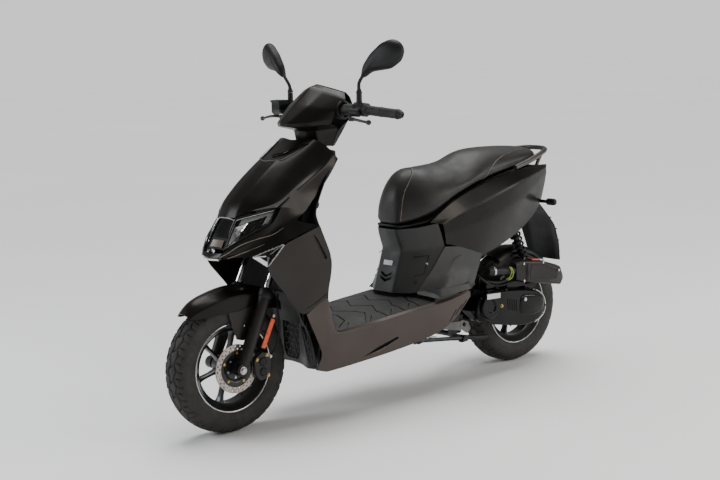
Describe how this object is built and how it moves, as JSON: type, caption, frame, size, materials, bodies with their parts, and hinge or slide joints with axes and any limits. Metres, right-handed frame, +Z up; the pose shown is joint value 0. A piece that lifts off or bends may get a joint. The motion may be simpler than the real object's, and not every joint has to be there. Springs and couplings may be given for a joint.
{
  "type": "moped scooter",
  "caption": "Step-through moped scooter with faceted bodywork, long saddle, swinging engine unit and ten-inch wheels.",
  "frame": {"origin": "on the ground, midway between the two axles, on the centre plane", "axes": "+Z up, the front wheel points along -Y, +X is the rider's left"},
  "size_m": [0.748, 1.744, 1.246],
  "materials": {
    "tyre": "satin tread blocks",
    "wheel_black": "satin black with a bare machined lip",
    "disc_steel": "brushed",
    "fork_black": "satin black",
    "zinc": "zinc plated",
    "fork_chrome": "polished",
    "body_black": "satin metallic black brown",
    "bronze": "satin bronze grey metallic",
    "grey_plastic": "fine grained moulding",
    "floor_rubber": "ribbed rubber",
    "vinyl": "grained vinyl with light stitching",
    "lever_alloy": "cast, polished",
    "mirror_black": "satin black",
    "frame_black": "black powder coat",
    "engine_black": "gloss black",
    "lens_clear": "clear",
    "lens_red": "red"
  },
  "bodies": {
    "chassis": {"frame_neck": "frame_black", "frame_rail_left": "frame_black", "frame_rail_right": "frame_black", "front_cover": "body_black", "headlight": "lens_clear", "indicator_front_left": "lens_clear", "indicator_front_right": "lens_clear", "leg_shield_left": "body_black", "leg_shield_right": "body_black", "inner_leg_shield": "grey_plastic", "splash_panel": "grey_plastic", "side_skirt_left": "bronze", "side_skirt_right": "bronze", "floorboard": "floor_rubber", "tunnel_cover": "grey_plastic", "side_panel_left": "grey_plastic", "side_panel_right": "grey_plastic", "tail_fairing_left": "body_black", "tail_fairing_right": "body_black", "tail_light": "lens_red", "grab_rail": "bronze", "seat_bucket": "grey_plastic", "plate_bracket": "grey_plastic", "fuel_tank": "grey_plastic"},
    "handlebars": {"fork_upper": "fork_chrome", "handlebar": "frame_black", "bar_cover": "body_black", "dash": "grey_plastic", "grip_left": "floor_rubber", "switch_left": "grey_plastic", "switch_right": "grey_plastic"},
    "throttle": {"throttle_grip": "floor_rubber"},
    "lever_left": {"brake_lever_left": "lever_alloy"},
    "lever_right": {"brake_lever_right": "lever_alloy"},
    "mirror_left": {"mirror_left": "mirror_black"},
    "mirror_right": {"mirror_right": "mirror_black"},
    "horn": {"horn_button": "grey_plastic"},
    "starter": {"starter_button": "lens_red"},
    "fork_lower": {"fork_leg_left": "fork_black", "fork_leg_right": "fork_black", "front_axle": "zinc", "front_fender": "body_black", "brake_caliper": "fork_black"},
    "front_wheel": {"front_tyre": "tyre", "front_rim": "wheel_black", "brake_disc": "disc_steel"},
    "engine": {"engine_case": "engine_black", "cvt_cover": "engine_black", "airbox": "grey_plastic", "muffler": "engine_black", "rear_hugger": "grey_plastic"},
    "rear_wheel": {"rear_tyre": "tyre", "rear_rim": "wheel_black", "rear_axle": "zinc"},
    "shock_top": {"shock_upper": "frame_black", "shock_spring": "frame_black"},
    "shock_bottom": {"shock_lower": "zinc"},
    "saddle": {"seat": "vinyl"},
    "side_stand": {"side_stand": "frame_black"},
    "centre_stand": {"centre_stand": "frame_black"}
  },
  "joints": [
    {"name": "steering", "type": "hinge", "parent": "chassis", "child": "handlebars", "pos_m": [0, -0.22, 1.01], "axis": [0, 0.4399, 0.898], "range_deg": [-40, 40]},
    {"name": "fork_travel", "type": "slide", "parent": "handlebars", "child": "fork_lower", "axis": [0, 0.4399, 0.898], "range_m": [0, 0.065], "stiffness_N_per_m": 9000, "springref_m": -0.06},
    {"name": "front_spin", "type": "hinge", "parent": "fork_lower", "child": "front_wheel", "pos_m": [0, -0.655, 0.217], "axis": [1, 0, 0], "continuous": true},
    {"name": "throttle_turn", "type": "hinge", "parent": "handlebars", "child": "throttle", "pos_m": [-0.205, -0.197, 1.021], "axis": [-0.9613, 0.2538, -0.1077], "range_deg": [0, 75], "stiffness_Nm_per_rad": 0.15, "springref_deg": -17.19},
    {"name": "lever_left_pull", "type": "hinge", "parent": "handlebars", "child": "lever_left", "pos_m": [0.19, -0.243, 0.993], "axis": [0, 0, 1], "range_deg": [0, 18], "stiffness_Nm_per_rad": 1, "springref_deg": -17.19},
    {"name": "lever_right_pull", "type": "hinge", "parent": "handlebars", "child": "lever_right", "pos_m": [-0.19, -0.243, 0.993], "axis": [0, 0, -1], "range_deg": [0, 18], "stiffness_Nm_per_rad": 1, "springref_deg": -17.19},
    {"name": "mirror_left_turn", "type": "hinge", "parent": "handlebars", "child": "mirror_left", "pos_m": [0.187, -0.204, 1.08], "axis": [0, 0, 1], "range_deg": [-30, 30]},
    {"name": "mirror_right_turn", "type": "hinge", "parent": "handlebars", "child": "mirror_right", "pos_m": [-0.187, -0.204, 1.08], "axis": [0, 0, -1], "range_deg": [-30, 30]},
    {"name": "horn_press", "type": "slide", "parent": "handlebars", "child": "horn", "axis": [0, -1, 0], "range_m": [0, 0.003], "stiffness_N_per_m": 400, "springref_m": -0.003},
    {"name": "starter_press", "type": "slide", "parent": "handlebars", "child": "starter", "axis": [0, -1, 0], "range_m": [0, 0.003], "stiffness_N_per_m": 400, "springref_m": -0.003},
    {"name": "rear_swing", "type": "hinge", "parent": "chassis", "child": "engine", "pos_m": [0, 0.318, 0.3], "axis": [1, 0, 0], "range_deg": [0, 8], "stiffness_Nm_per_rad": 700, "springref_deg": -20.05},
    {"name": "rear_spin", "type": "hinge", "parent": "engine", "child": "rear_wheel", "pos_m": [0, 0.655, 0.217], "axis": [1, 0, 0], "continuous": true},
    {"name": "shock_tilt", "type": "hinge", "parent": "chassis", "child": "shock_top", "pos_m": [0.076, 0.606, 0.53], "axis": [1, 0, 0], "range_deg": [0, 4.19]},
    {"name": "shock_slide", "type": "slide", "parent": "shock_top", "child": "shock_bottom", "axis": [-0.0093, -0.3633, 0.9316], "range_m": [0, 0.0516], "deforming": ["shock_spring"]},
    {"name": "seat_hinge", "type": "hinge", "parent": "chassis", "child": "saddle", "pos_m": [0, 0.05, 0.589], "axis": [1, 0, 0], "range_deg": [0, 75]},
    {"name": "side_stand_swing", "type": "hinge", "parent": "chassis", "child": "side_stand", "pos_m": [0.114, 0.09, 0.186], "axis": [-0.9063, 0, -0.4227], "range_deg": [0, 110]},
    {"name": "centre_stand_swing", "type": "hinge", "parent": "chassis", "child": "centre_stand", "pos_m": [0, 0.268, 0.176], "axis": [-1, 0, 0], "range_deg": [0, 92]}
  ],
  "couplings": [
    {"joint": "shock_tilt", "follows": "rear_swing", "ratio": 0.4861},
    {"joint": "shock_slide", "follows": "rear_swing", "m_per_rad": 0.3553}
  ]
}
